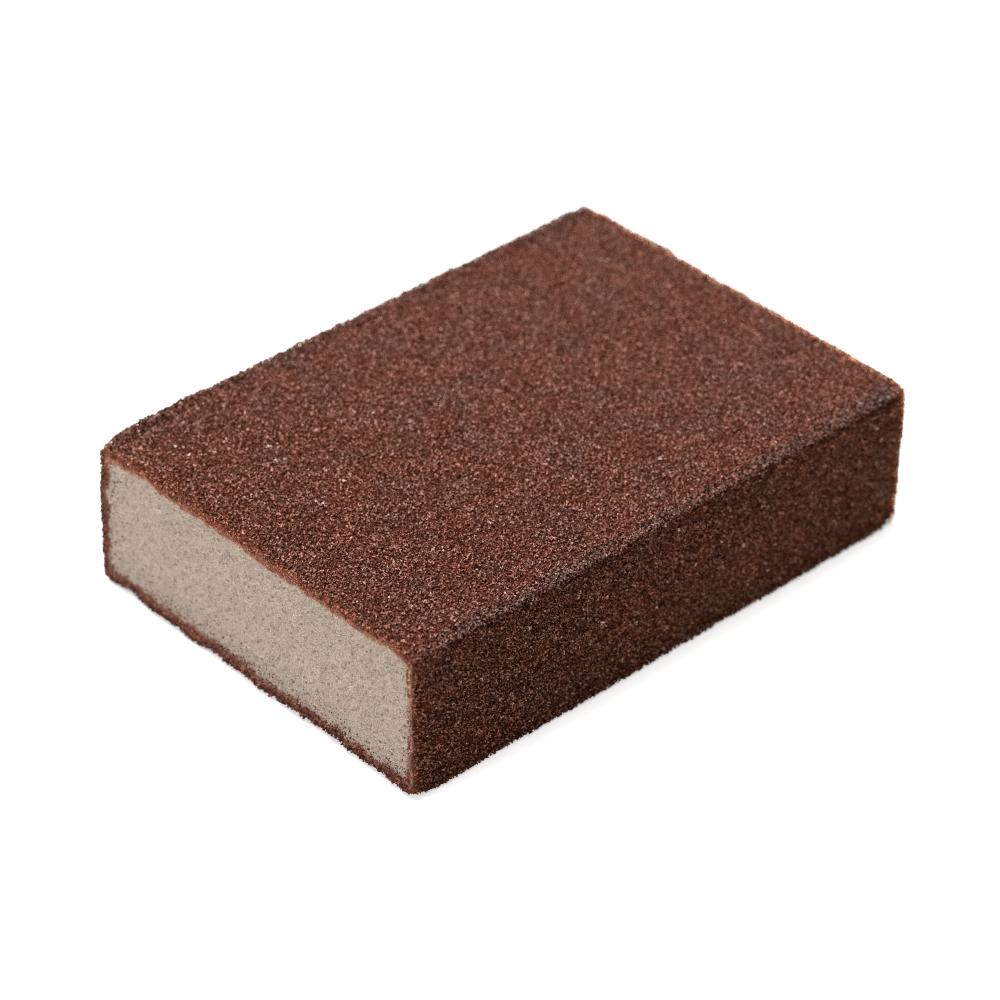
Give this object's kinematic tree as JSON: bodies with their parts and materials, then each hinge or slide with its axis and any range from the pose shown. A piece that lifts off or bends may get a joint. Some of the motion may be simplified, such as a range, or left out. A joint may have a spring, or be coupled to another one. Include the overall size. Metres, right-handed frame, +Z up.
{
  "type": "sanding block",
  "caption": "Rectangular hand sanding sponge: soft foam block with coarse abrasive grit bonded to its long faces and bare foam at its short ends",
  "frame": {"origin": "centre of the underside, on the plane the block rests on", "axes": "+X along the length, +Y across the width, +Z up from the underside to the top face"},
  "size_m": [0.1, 0.07, 0.025],
  "materials": {
    "foam": "matte",
    "bond_resin": "matte",
    "face_grit": "matte",
    "side_grit": "matte"
  },
  "bodies": {
    "root": {"foam_core": "foam", "top_bond_coat": "bond_resin", "bottom_bond_coat": "bond_resin", "front_bond_coat": "bond_resin", "rear_bond_coat": "bond_resin", "top_grit": "face_grit", "bottom_grit": "face_grit", "front_grit": "side_grit", "rear_grit": "side_grit"}
  },
  "joints": []
}
